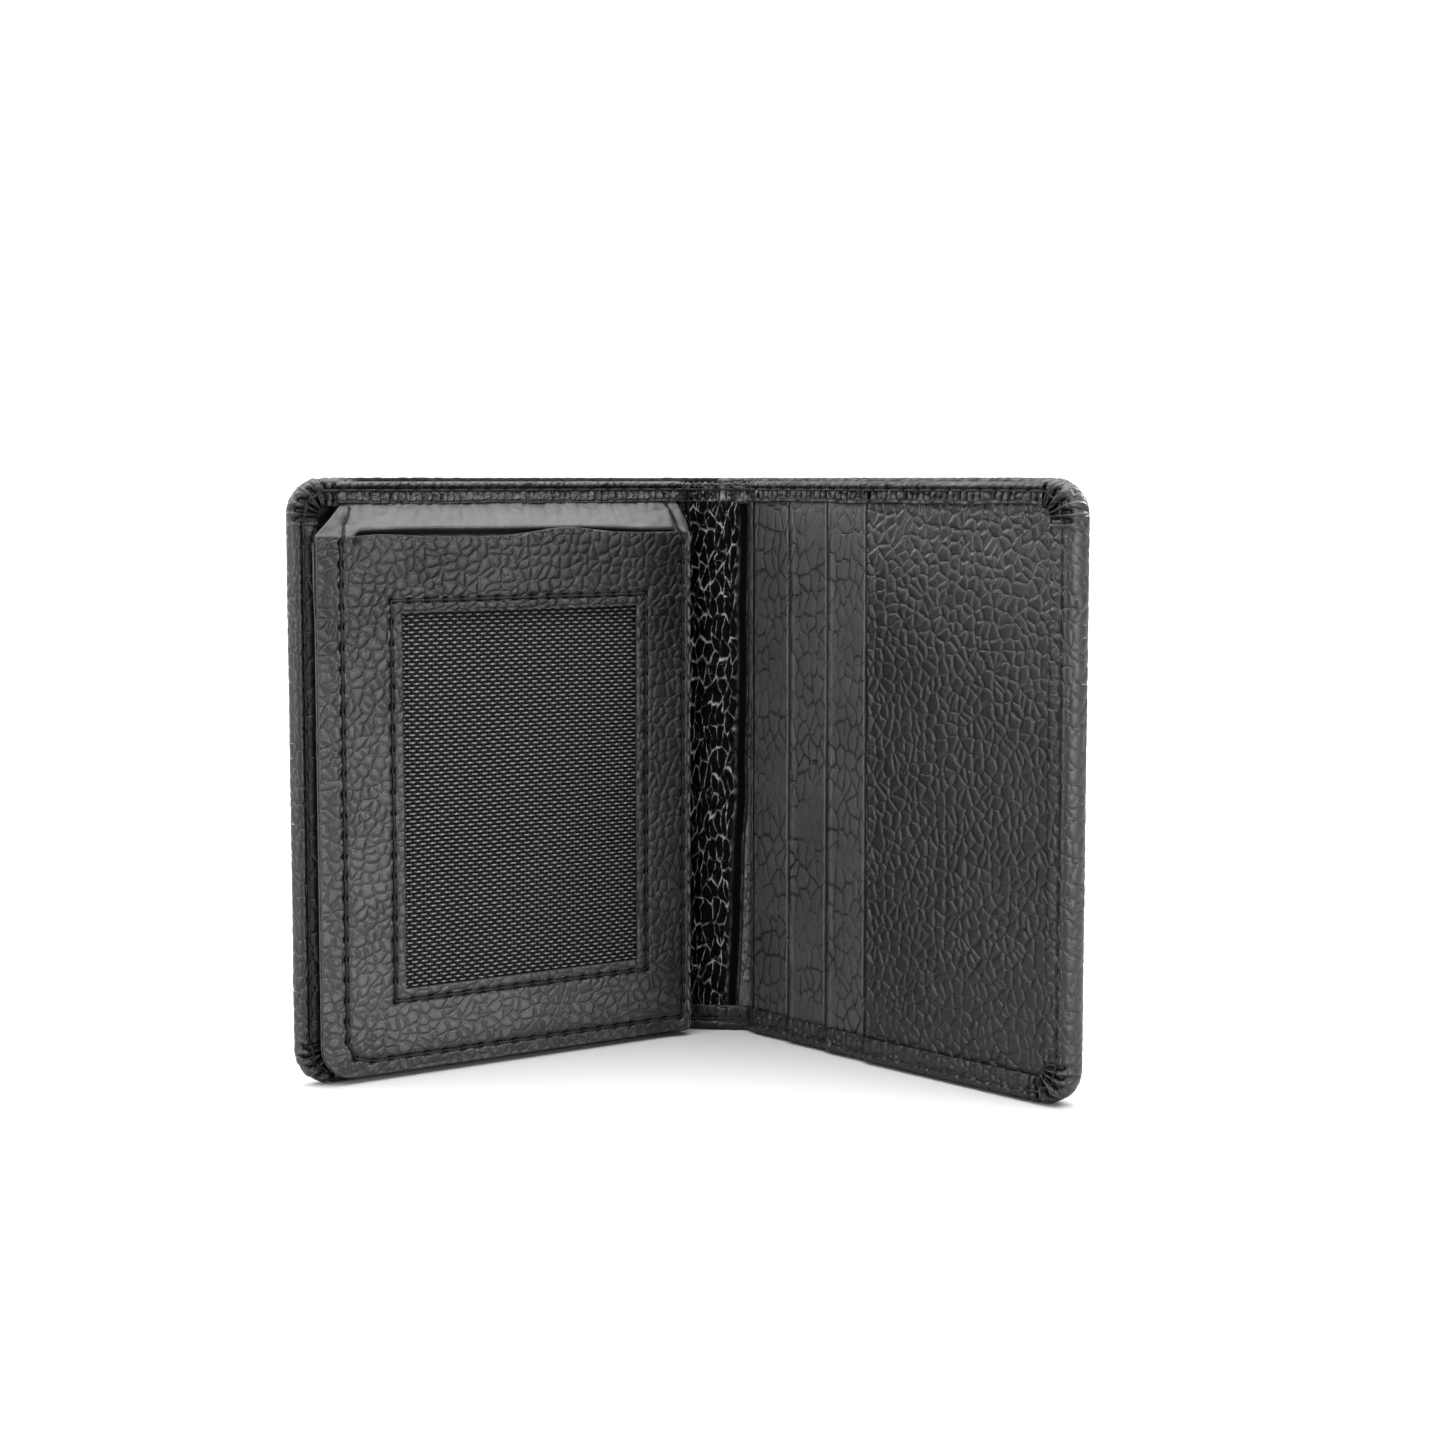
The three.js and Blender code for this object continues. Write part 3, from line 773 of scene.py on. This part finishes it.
def inner_hem(skin, side, u):
    """Rows of the top hem: its underside, its raw edge, and its sewn face up to the fold."""
    rows = []
    full = stack_face(side, u) + GAP + LEATHER
    under = [(z, full - LEATHER) for z in np.linspace(LAYER_HIGH, HEM_EDGE, 4)]
    under.append((HEM_EDGE - 0.12, full - LEATHER * 0.6))
    ragged = 0.15 * noise(side * u, u * 0, 6, 81)
    for z, depth in under:
        rows.append(skin.add(u, depth - 0.05, np.full(len(u), z) + ragged * (z < 101), tone=0.4))
    for inset in np.linspace(HEIGHT - HEM_EDGE, HEM_FOLD, 12):
        z = HEIGHT - inset
        hh, tt = grain(side * u, np.full(len(u), 2 * HEM_TOP - z + 20), 1.5, 0.04)
        tucks = gathers(side * u + 40, np.full(len(u), inset), 0.65)
        tucks = tucks - 0.5 * spine_tucks(u) * (1 - abs(inset - 2.6) / 4)
        pulled = stitched(u, np.full(len(u), z), HEM_HOLES, 0.0, 0.32)
        depth = hem_depth(side, u, inset) + hh + tucks - pulled
        edge = math.exp(-((inset - 4.15) / 0.25) ** 2)
        above = float(smooth((HEM_STITCH + 0.3 - inset) / 0.5))
        lit = 1.5 if side < 0 and inset > HEM_STITCH else 0.35
        shade = np.clip(tt * lit + tucks * 0.5, 0, 1) * (1 - 0.7 * above) * (1 - edge) + EDGE_TONE * edge
        rows.append(skin.add(
            u, depth, z + ragged * smooth((inset - 2.4) / 2), leather=(u, np.full(len(u), 130 - z)),
            tone=shade, gloss=np.maximum(0.6 * smooth((9 - u) / 4), 0.4 * edge)))
    return rows


def spine_tucks(u):
    """The tucks of the top edge where it spans the spine."""
    return np.abs(np.sin(np.pi * u / 1.25 + 0.8)) * smooth((10 - u) / 4)


def inner_roll(skin, side, u):
    """Rows of the roll over the top, from the hem to the back of the sheet, and down to its foot."""
    rows = []
    rolls, start = 9, HEIGHT - HEM_FOLD
    top = stack_face(side, u) + GAP + LEATHER - 0.05
    rear = inner_face(u) - (INNER_FACE - INNER_BACK) - 0.1
    for k in range(1, rolls + 1):
        phi = math.pi * k / rolls
        hh, tt = grain(side * u, np.full(len(u), 150 + k * 0.5), 1.5, 0.08)
        tucks = 0.35 * spine_tucks(u) + hh
        depth = rear + (top - rear) * (0.5 + 0.5 * math.cos(phi))
        height = start + (HEM_TOP - start) * math.sin(phi) - tucks * math.sin(phi)
        rows.append(skin.add(u, depth, height, leather=(u, np.full(len(u), 150 + k * 0.4)),
                             tone=0.3 * tt, gloss=0.5 * smooth((9 - u) / 4)))
    return [*rows, skin.add(u, rear, np.full(len(u), LAYER_LOW), tone=0.4)]


def inner_sheet(side):
    """The inner leather of one half with half of the spine. Its top edge turns forwards as the
    top hem."""
    skin = Skin(side)
    if side > 0:
        u = lines((0, 0.15), (9, 0.25), (13, 0.5), (HALF_WIDTH - 6.5, 1))
    else:
        u = lines((0, 0.15), (9.5, 0.5), (HALF_WIDTH - 8.5, 1))
    rise = lines((LAYER_LOW, 0.28), (HEM_EDGE + 0.4, 0.6), (LAYER_HIGH, 1))
    uu, zz = np.meshgrid(u, rise)
    face, tone, gloss = inner_front(side, uu, zz)
    front = skin.add(uu, face, zz, tone=tone, gloss=gloss)
    skin.weave(front)
    rows = [front[-1], *inner_hem(skin, side, u), *inner_roll(skin, side, u), front[0]]
    skin.weave(np.stack(rows))
    return skin.build(HALF[side] + "_inner_sheet", INNER)


# ---- pockets

def pocket(name, mouth, face, visible, depth, seed):
    """A card-pocket layer on the right half. Only the strip by its mouth shows, and is fine."""
    skin = Skin(1)
    fine = min(mouth + visible + 1.5, LAYER_END - 1)
    coarse = lines((fine, 2.5), (LAYER_END, 1))
    u = np.concatenate([lines((mouth, 0.27), (fine, 1))[:-1], coarse])
    z = lines((LAYER_LOW, 0.29), (LAYER_HIGH, 1))
    u, z = rounded(u, z, (0, CORNER, CORNER, 0))
    wave = 0.12 * noise(u, z, 22, seed) * smooth((z - 5) / 12) * smooth((100 - z) / 12)
    is_strip = visible < 20
    mouth_wave = 0.22 * noise(z, z * 0, 26, seed + 1) * smooth((fine - u) / 6)
    stretch = 1.9 if is_strip else 1.1

    def relief(pu, pz):
        h, t = grain(pu + 13.7 * seed, pz, 2.0 if is_strip else LEAF_PEBBLE, depth, stretch=stretch)
        # A shallow sunk strip by the next layer's mouth, painted black as its shadow.
        gap = np.exp(-((pu - mouth - visible + 0.95) / 0.38) ** 4)
        lip = 0.45 * gap - 0.12 * np.exp(-((pu - mouth - 0.5) / 0.5) ** 2)
        t = (0.74 * smooth(t / 0.22) if is_strip else t) * (1 - gap)
        sewn = 0.25 * smooth((6.5 - pz) / 3) + 0.25 * smooth((pz - 98.5) / 3)
        return h - lip - sewn * 0.5 + wave, t

    plate(skin, u + mouth_wave, z, face - 0.4, face - 0.05, relief, edge=0.06, steps=4, rim=0.0,
          gloss=0.0 if is_strip else 0.1)
    return skin.build(name, INNER)


# ---- the identity leaf

def leaf_edge(u, z):
    """Distance from a point on the leaf to its sewn edges: outer, lower and spine side."""
    return np.minimum(np.minimum(LEAF_U[1] - u, u - LEAF_U[0]), z - LEAF_Z[0])


def leaf_front_face(u, z):
    """Depth of the leaf's face: pinched down along its sewn edges, slack at the pocket's mouth."""
    beside_spine = smooth((LEAF_U[0] + 6 - u) / 4)
    pinch = 0.95 * np.exp(-(np.maximum(leaf_edge(u, z), 0) / 3.2) ** 2) * (1 - 0.9 * beside_spine)
    slack = 0.35 * smooth((z - 86) / 9) * smooth((u - 12) / 14) * smooth((KNOT[0] + 2 - u) / 14)
    wave = 0.18 * noise(u, z, 24, 91) * smooth(leaf_edge(u, z) / 8)
    return LEAF_FRONT[1] - pinch + slack + wave


def mouth_open(u):
    """1 where the leaf's pocket is open along its mouth, 0 beside its end stitches."""
    return smooth((u - 12.0) / 1.2) * smooth((KNOT[0] + 0.6 - u) / 1.2)


def leaf_back_face(u, z):
    """Depth of the leaf's back sheet. It lies behind the face up to the mouth, comes forward
    just above it, and leans back from there to the hem that holds it."""
    pinch = 0.45 * np.exp(-(np.maximum(leaf_edge(u, z), 0) / 3.0) ** 2)
    below = LEAF_BACK[1] + pinch * smooth((88 - z) / 8)
    brow = leaf_front_face(u, np.full(np.shape(z), LEAF_MOUTH)) - 0.12 - 0.25 * mouth_open(u)
    line = 96.1 + 0.35 * noise(u, u * 0, 17, 98) - 1.4 * (1 - mouth_open(u))
    rise = smooth((z - line + 1.3) / 1.2)
    lean = np.clip((z - line) / (101.2 - line), 0, 1)
    front = brow * (1 - lean) + 2.95 * lean
    return np.where(z < line, below * (1 - rise) + brow * rise, front)


def band_outline(u, z):
    """The leaf's top corners are cut slantwise towards the hinge."""
    outer = 6.2 * np.clip((z - LEAF_MOUTH) / 5.4, 0, 1)
    inner = 1.8 * np.clip((z - 96.2) / 4.2, 0, 1)
    share = (u - LEAF_U[0]) / (LEAF_U[1] - LEAF_U[0])
    return u + inner * (1 - share) - outer * share


def leaf_path():
    inner, low = LEAF_U[0] + LEAF_STITCH_SPINE, LEAF_Z[0] + LEAF_STITCH_LOW
    outer, r = LEAF_U[1] - LEAF_STITCH_OUTER, 4.0
    path = [(outer - 3.4, 100.0), (outer, LEAF_MOUTH), (outer, low + r)]
    path += arc(outer - r, low + r, r, 0, -90)
    path += [(inner, low), (inner, 94), (inner + 1.2, 100.0)]
    return walk(path, STITCH_PITCH)


def window_path():
    s = WINDOW_STITCH
    u0, u1, z0, z1 = WINDOW_U[0] - s, WINDOW_U[1] + s, WINDOW_Z[0] - s, WINDOW_Z[1] + s
    sides = [((u0, z0), (u1, z0)), ((u1, z0), (u1, z1)), ((u1, z1), (u0, z1)), ((u0, z1), (u0, z0))]
    holes = [walk(side, STITCH_PITCH)[:-1] for side in sides]
    return np.concatenate(holes + [[(u0, z0)]])


LEAF_HOLES = leaf_path()
WINDOW_HOLES = window_path()


def leaf_front():
    """The face leather of the leaf round its window, with grain, seams and raw-cut window edge; painted
    shade in its holes, and painted highlights on its rolled edge and window edge.
    """
    skin = Skin(-1)
    (a, b), (c, d) = WINDOW_U, WINDOW_Z
    u_lines = lines((LEAF_U[0], 0.27), (a, 0.29), (b, 0.27), (LEAF_U[1], 1))
    z_lines = lines((LEAF_Z[0], 0.29), (c, 0.32), (d, 0.27), (LEAF_MOUTH, 1))
    u, z = rounded(u_lines, z_lines, (1.6, 6.0, 0, 0))
    sag = 0.55 * noise(u, u * 0, 19, 97) + 0.9 * np.exp(-((u - 36.5) / 7.5) ** 2) - 0.25
    z = z + sag * smooth((z - 90) / 5) * smooth((u - 12) / 6) * smooth((KNOT[0] + 1 - u) / 6)
    h, t = grain(-u, z, LEAF_PEBBLE, 0.24, stretch=0.9)
    calm = 0.45 + 0.55 * smooth((z - 8) / 60)
    sewn = stitched(u, z, LEAF_HOLES, 0.18, 0.5) + stitched(u, z, WINDOW_HOLES, 0.18, 0.5)
    mouth = 0.12 * np.exp(-((z - z.max(0, keepdims=True)) / 0.6) ** 2)
    knot = np.exp(-(np.hypot(u - KNOT[0], z - KNOT[1]) / 0.62) ** 4)
    face = leaf_front_face(u, z) + h * calm - sewn - mouth - 0.1 - 0.5 * knot
    back = leaf_front_face(u, z) - LEATHER - 0.1 - 0.45 * knot
    row0, row1 = np.searchsorted(z_lines, (c - 1e-6, d - 1e-6))
    col0, col1 = np.searchsorted(u_lines, (a - 1e-6, b - 1e-6))
    # The rolled spine edge: painted pale, with slanting painted highlight streaks.
    rolled = np.exp(-((u - LEAF_U[0]) / 1.8) ** 6)
    slant, _ = cells(u + 0.4 * noise(u, z, 3, 41), (z - 0.7 * u) / 1.2, 2.3, 43)
    streak = np.exp(-(slant / 0.2) ** 2)
    t = (t + 0.2 * (1 - calm)) * (1 - rolled) + rolled * (0.95 - 0.93 * streak)
    # A painted highlight along the window's raw edge, on two of its sides.
    cut = np.maximum(np.exp(-((u - a + 0.1) / 0.3) ** 4) * (z > c) * (z < d + 0.3),
                     np.exp(-((z - d - 0.1) / 0.3) ** 4) * (u > a - 0.3) * (u < b))
    t = t * (1 - cut) + EDGE_TONE * cut
    lines_lit = 0.16 + 0.24 * smooth((z - 60) / 25) + 0.25 * smooth((24 - u) / 8)
    gloss = np.maximum(lines_lit * (1 - rolled), 0.55 * rolled * streak)
    # Needle holes, sewing channels and the knot are painted dark as shade.
    front = skin.add(u, face, z, tone=t * (1 - np.clip(sewn / 0.24 + knot, 0, 1)),
                     gloss=np.maximum(gloss * (sewn < 0.05), 0.5 * cut))
    keep = np.ones((len(z_lines) - 1, len(u_lines) - 1), bool)
    keep[row0:row1, col0:col1] = False
    quads = np.stack([front[:-1, :-1], front[:-1, 1:], front[1:, 1:], front[1:, :-1]], -1)
    skin.quads.append(quads[keep])

    def wall(part, turn, reach, shade):
        ring, ru, rz, top, low = (around(grid[part])[::turn] for grid in (front, u, z, face, back))
        mu, mz = outward(ru, rz)
        previous = ring
        for k in range(1, 6):
            phi = math.pi * k / 5
            share = 0.5 + 0.5 * math.cos(phi)
            off = reach * math.sin(phi)
            row = skin.add(ru + mu * off, low + (top - low) * share, rz + mz * off, tone=shade)
            skin.hoop(row, previous)
            previous = row
        return previous[::turn]

    whole = (slice(None), slice(None))
    hole = (slice(row0, row1 + 1), slice(col0, col1 + 1))
    outer = wall(whole, 1, 0.1, 0.3)
    inner = wall(hole, -1, 0.08, 0.22)

    def edges(ring, part):
        rows, columns = front[part].shape
        marks = np.cumsum([0, columns - 1, rows - 1, columns - 1, rows - 1])
        closed = np.append(ring, ring[0])
        return [closed[m:n + 1] for m, n in zip(marks[:-1], marks[1:])]

    for far, near in zip(edges(outer, whole), edges(inner, hole)):
        skin.ngons.append([*far[::-1], *near])
    return skin.build("leaf_front", SMOOTH)


def leaf_back():
    """The back leather of the leaf, which runs up as the bending band and is sewn into the hem."""
    skin = Skin(-1)
    u_lines = lines((LEAF_U[0], 0.5), (LEAF_U[1], 1))
    z_lines = lines((LEAF_Z[0], 0.55), (90, 0.28), (103.2, 1))
    u, z = rounded(u_lines, z_lines, (1.6, 6.0, 0, 0))
    u = band_outline(u, z)
    band = smooth((z - 93) / 3)

    def relief(pu, pz):
        h, t = grain(-pu, pz, 1.7, 0.12)
        crack, _ = cells(pu + 1.2 * noise(pu, pz, 4, 47), pz * 0.8, 2.6, 48)
        flex = -0.16 * np.exp(-(crack / 0.3) ** 2) * smooth((pz - 97) / 3)
        soft = 0.09 * noise(pu, pz, 1.8, 45) + 0.07 * noise(pu, pz, 0.8, 46)
        sewn = stitched(pu, pz, LEAF_HOLES, 0.1, 0.25) if pu.min() < HALF_WIDTH else 0
        return h * (1 - 0.6 * band) + flex + soft * band - sewn, t * (1 - band) + band * 0.42

    face = leaf_back_face(u, z)
    plate(skin, u, z, face - 0.5, face - 0.05, relief, edge=0.2, steps=5, both=True)
    return skin.build("leaf_back", SMOOTH)


def leaf_lining():
    skin = Skin(-1)
    u = lines((LEAF_U[0] + 1.5, 1.2), (LEAF_U[1] - 1.5, 1))
    z = lines((LEAF_Z[0] + 1.5, 1.2), (LEAF_MOUTH - 1.5, 1))
    u, z = rounded(u, z, (1, 5, 0, 0))
    depth = leaf_back_face(u, z) + 0.3
    plate(skin, u, z, depth - 0.12, depth + 0.1, lambda pu, pz: (0 * pu, 0 * pu + 0.8), 0.08, 3)
    return skin.build("leaf_lining", LINING)


def window_weave():
    """The window: a plain weave of flat nylon threads, each passing over and under the others."""
    skin = Skin(-1)
    warp_pitch, weft_pitch = 0.96, 0.69
    margin = 1.7
    u0, u1 = WINDOW_U[0] - margin, WINDOW_U[1] + margin
    z0, z1 = WINDOW_Z[0] - margin, WINDOW_Z[1] + margin
    sides = 4
    angle = 2 * np.pi * np.arange(sides) / sides

    def wave(u, z):
        broad = 0.10 * np.sin(u / 5.2 + 0.8 * noise(u, z, 30, 21) + z / 60)
        return broad + 0.05 * noise(u, z, 14, 22)

    def shift(u, z):
        return 0.10 * noise(u, z, 9, 23), 0.10 * noise(u, z, 9, 24)

    def strand(cu, cz, over, along_u, width, thick, tone):
        su, sz = shift(cu, cz)
        n = MESH_DEPTH + wave(cu, cz) + 0.11 * over
        across = width / 2 * np.cos(angle)
        up = thick / 2 * np.sin(angle)
        u = (cu + su)[:, None] + (0 if along_u else 1) * across
        z = (cz + sz)[:, None] + (1 if along_u else 0) * across
        along = (cu if along_u else cz)[:, None] + 0 * across
        # Tone: a painted highlight on each thread's crest, fading to painted shade where it passes under.
        skin.tube(skin.add(u, n[:, None] + up, z, leather=(0 * along + angle * 0.1, along),
                           tone=0.05 + tone * np.clip(over + 0.4, 0, 1)[:, None]))

    columns = np.arange(u0, u1, warp_pitch)
    rows = np.arange(z0, z1, weft_pitch)
    for i, cu in enumerate(columns):
        cz = np.arange(0, len(rows) * 2 - 1) * weft_pitch / 2 + z0
        over = np.cos(np.pi * ((cz - z0) / weft_pitch + i))
        strand(np.full(len(cz), cu), cz, over, False, 0.44, 0.14, 0.05)
    for j, cz in enumerate(rows):
        cu = np.arange(0, len(columns) * 2 - 1) * warp_pitch / 2 + u0
        over = -np.cos(np.pi * ((cu - u0) / warp_pitch + j))
        strand(cu, np.full(len(cu), cz), over, True, 0.34, 0.2, 1.0)
    return skin.build("window_weave", NYLON)


def slip_pocket():
    skin = Skin(-1)
    u = lines((SLIP_MOUTH, 0.6), (LAYER_END, 1))
    z = lines((LAYER_LOW, 0.6), (LEAF_MOUTH, 1))
    u, z = rounded(u, z, (0, CORNER, CORNER, 0))

    def relief(pu, pz):
        return grain(-pu, pz, 1.75, 0.12)

    plate(skin, u, z, 2.5, 2.75, relief, 0.15, 4)
    return skin.build("slip_pocket", INNER)


# ---- threads

def hem_threads(side):
    skin = Skin(side)
    sew(skin, HEM_HOLES, lambda u, z: stack_face(side, u) + GAP + LEATHER - 0.30)
    sew(skin, OUTSIDE_HOLES, lambda u, z: 0 * u + 0.12, outwards=-1.0)
    return skin.build(HALF[side] + "_hem_thread", THREAD)


def leaf_threads():
    skin = Skin(-1)

    def depth(u, z):
        front = leaf_front_face(u, z) - 0.12
        return np.where(z > LEAF_MOUTH + 0.2, leaf_back_face(u, z) - 0.05, front)

    sew(skin, LEAF_HOLES, depth)
    return skin.build("leaf_edge_thread", THREAD)


def window_threads():
    skin = Skin(-1)
    sew(skin, WINDOW_HOLES, lambda u, z: leaf_front_face(u, z) - 0.12)
    return skin.build("window_thread", THREAD)


# ---- assembly

def across_fold(piece, side):
    """Bakes a piece's placement into its mesh. The points near and far on the fold are worked out but not
    used.
    """
    near, far = (fold(np.array([side * u]), np.array([AXIS_DEPTH]), np.array([HEIGHT / 2]))[0] * MM
                 for u in (BEND_FROM, BEND_TO))
    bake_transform(piece)


def on_hinge_band(piece):
    """Bakes a piece's placement into its mesh. The points high and low on the band are worked out but not
    used.
    """
    high, low = (fold(np.array([BAND_PLACE]), np.array([4.0]), np.array([z]))[0] * MM
                 for z in (101.2, 97.4))
    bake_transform(piece)


def stands_for(piece, slot, *nodes):
    """Hides the nodes of the frame that a piece replaces. Its slot argument is not used."""
    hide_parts(*nodes)


def assemble():
    for side, name in HALF.items():
        halves = (
            (shell(side), "outer_leather", f"{name}_cover", "spine_cover"),
            (inner_sheet(side), "inner_leather", f"{name}_inner_panel", "spine_inner_panel"),
            (hem_threads(side), "sewing_thread", f"{name}_hem_seam"))
        for piece, slot, *nodes in halves:
            across_fold(piece, side)
            stands_for(piece, slot, *nodes)
    mouths = (*SLOT_MOUTHS, FRONT_MOUTH)
    for k, (mouth, face) in enumerate(zip(SLOT_MOUTHS, SLOT_FACES)):
        strip = pocket(f"slot_strip_{k + 1}", mouth, face, mouths[k + 1] - mouth, 0.09, k + 1)
        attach(strip, "right_panel")
        stands_for(strip, "inner_leather", f"card_slot{k + 1}")
    wide = pocket("wide_pocket", FRONT_MOUTH, FRONT_FACE, 46.0, 0.17, 6)
    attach(wide, "right_panel")
    stands_for(wide, "inner_leather", "front_pocket")
    slip = slip_pocket()
    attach(slip, "left_panel")
    stands_for(slip, "inner_leather", "left_slip_pocket")
    back, edge_thread = leaf_back(), leaf_threads()
    on_hinge_band(back)
    stands_for(back, "inner_leather", "leaf_back_panel", "leaf_hanger_tab")
    on_hinge_band(edge_thread)
    stands_for(edge_thread, "sewing_thread", "leaf_edge_seam")
    for piece, node, slot in (
            (leaf_front(), "leaf_front_panel", "inner_leather"),
            (leaf_lining(), "leaf_pocket_lining", "lining_fabric"),
            (window_weave(), "window_mesh", "window_mesh"),
            (window_threads(), "window_seam", "sewing_thread")):
        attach(piece, "leaf")
        stands_for(piece, slot, node)
    for name in ("left_bill_lining", "right_bill_lining"):
        node = frame["nodes"][name]
        node.data.materials.clear()
        node.data.materials.append(LINING)


# ---- stage

def add_floor():
    """A pale floor, much wider than the picture."""
    mesh = bpy.data.meshes.new("floor")
    corners = [(-1, -1), (1, -1), (1, 1), (-1, 1)]
    mesh.from_pydata([(x * FLOOR_HALF, y * FLOOR_HALF, 0) for x, y in corners], [], [(0, 1, 2, 3)])
    material, tree, shader = node_tree("floor")
    fill(tree, shader, {
        "Base Color": (FLOOR_TONE, FLOOR_TONE, FLOOR_TONE, 1),
        "Roughness": 0.9,
        "Specular IOR Level": 0.1})
    mesh.materials.append(material)
    add_object("floor", mesh)


def add_sky():
    """A studio dome, dim at the horizon and bright overhead, that the camera sees as plain white."""
    world = bpy.data.worlds.new("studio")
    bpy.context.scene.world = world
    world.use_nodes = True
    tree = world.node_tree
    ray = new(tree, "ShaderNodeTexCoord").outputs["Generated"]
    height = new(tree, "ShaderNodeSeparateXYZ", Vector=ray).outputs["Z"]
    dome = new(tree, "ShaderNodeMapRange", interpolation_type="SMOOTHSTEP", Value=height)
    fill(tree, dome, {
        "From Min": 0.5, "From Max": 0.92, "To Min": HORIZON_LIGHT, "To Max": CEILING_LIGHT})
    seen = new(tree, "ShaderNodeLightPath").outputs["Is Camera Ray"]
    strength = new(tree, "ShaderNodeMix", data_type="FLOAT", Factor=seen, A=dome.outputs["Result"], B=1.0)
    fill(tree, tree.nodes["Background"], {
        "Color": (1, 1, 1, 1), "Strength": strength.outputs["Result"]})


def add_lamps():
    for name, place, power, size, aim in LAMPS:
        data = bpy.data.lights.new(name, "AREA")
        data.energy = power
        data.shape = "SQUARE"
        data.size = size
        lamp = add_object(name, data)
        lamp.location = place
        direction = np.array(aim) - np.array(place)
        lamp.rotation_euler = (
            math.acos(-direction[2] / np.linalg.norm(direction)), 0,
            math.atan2(direction[1], direction[0]) - math.pi / 2)


def add_camera():
    """The camera stands in front, level with the wallet's top."""
    data = bpy.data.cameras.new("camera")
    data.lens = LENS
    data.sensor_width = 36.0
    camera = add_object("camera", data)
    camera.location = CAMERA_PLACE
    camera.rotation_euler = (math.radians(90 + CAMERA_TILT), 0, math.radians(CAMERA_TURN))
    bpy.context.scene.camera = camera
    bpy.context.scene.view_settings.view_transform = "Standard"
    bpy.context.scene.view_settings.look = "Medium High Contrast"


assemble()
add_floor()
add_sky()
add_lamps()
add_camera()
